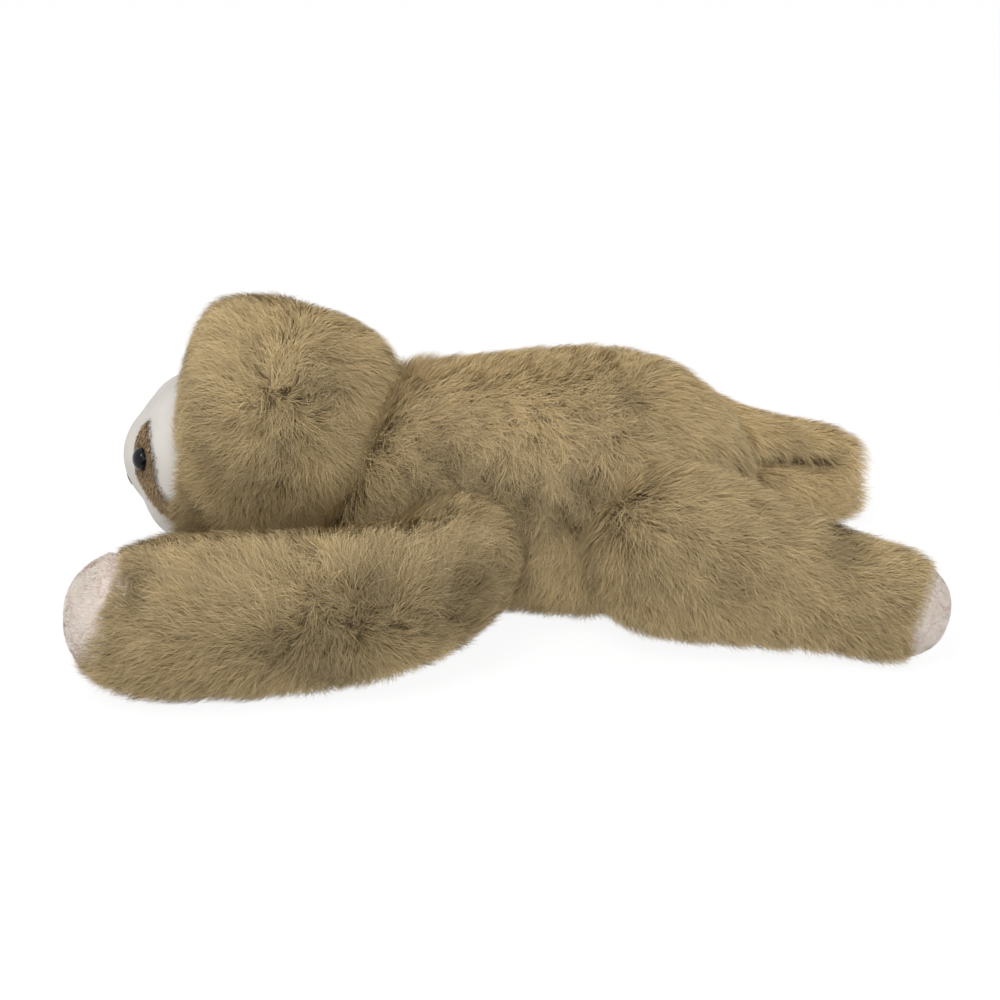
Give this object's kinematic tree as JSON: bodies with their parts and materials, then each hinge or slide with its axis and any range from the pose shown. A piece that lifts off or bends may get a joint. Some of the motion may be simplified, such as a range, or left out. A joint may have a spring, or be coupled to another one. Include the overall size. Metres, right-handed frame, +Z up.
{
  "type": "plush sloth toy",
  "caption": "Lying plush sloth with long tan fur, a cream face with brown eye patches, glossy domed eyes, and limbs that lift at their seams to pale paw and foot tips.",
  "frame": {"origin": "centre of the toy's bounding box seen from above, on the surface that it lies on", "axes": "+Z up, -X towards the face, +X towards the feet, -Y on the toy's left"},
  "size_m": [0.3549, 0.2772, 0.1308],
  "materials": {
    "fur_tan": "long plush fur, tan with olive brown recesses and pale tips",
    "stuffing_white": "white fibre filling",
    "face_cream": "short cream pile",
    "patch_brown": "short taupe brown pile",
    "eye_black": "polished black",
    "washer_white": "plain moulded",
    "nose_brown": "close dark brown satin stitch",
    "tip_blush": "short pale pile with a faint blush"
  },
  "bodies": {
    "body": {"body_cover": "fur_tan", "body_stuffing": "stuffing_white"},
    "head": {"head_cover": "fur_tan", "head_stuffing": "stuffing_white", "face_panel": "face_cream", "eye_patch_left": "patch_brown", "eye_patch_right": "patch_brown", "eye_left": "eye_black", "eye_right": "eye_black", "eye_washer_left": "washer_white", "eye_washer_right": "washer_white", "nose": "nose_brown"},
    "left_arm": {"arm_cover_left": "fur_tan", "arm_stuffing_left": "stuffing_white", "paw_tip_left": "tip_blush"},
    "right_arm": {"arm_cover_right": "fur_tan", "arm_stuffing_right": "stuffing_white", "paw_tip_right": "tip_blush"},
    "left_leg": {"leg_cover_left": "fur_tan", "leg_stuffing_left": "stuffing_white", "foot_tip_left": "tip_blush"},
    "right_leg": {"leg_cover_right": "fur_tan", "leg_stuffing_right": "stuffing_white", "foot_tip_right": "tip_blush"}
  },
  "joints": [
    {"name": "neck_nod", "type": "hinge", "parent": "body", "child": "head", "pos_m": [-0.003, 0, 0.04], "axis": [0, 1, 0], "range_deg": [-8, 20]},
    {"name": "left_shoulder", "type": "hinge", "parent": "body", "child": "left_arm", "pos_m": [-0.022, -0.0485, 0.039], "axis": [0, 1, 0], "range_deg": [0, 60]},
    {"name": "right_shoulder", "type": "hinge", "parent": "body", "child": "right_arm", "pos_m": [-0.022, 0.0485, 0.039], "axis": [0, 1, 0], "range_deg": [0, 60]},
    {"name": "left_hip", "type": "hinge", "parent": "body", "child": "left_leg", "pos_m": [0.064, -0.05, 0.041], "axis": [0, -1, 0], "range_deg": [0, 50]},
    {"name": "right_hip", "type": "hinge", "parent": "body", "child": "right_leg", "pos_m": [0.064, 0.05, 0.041], "axis": [0, -1, 0], "range_deg": [0, 50]}
  ]
}
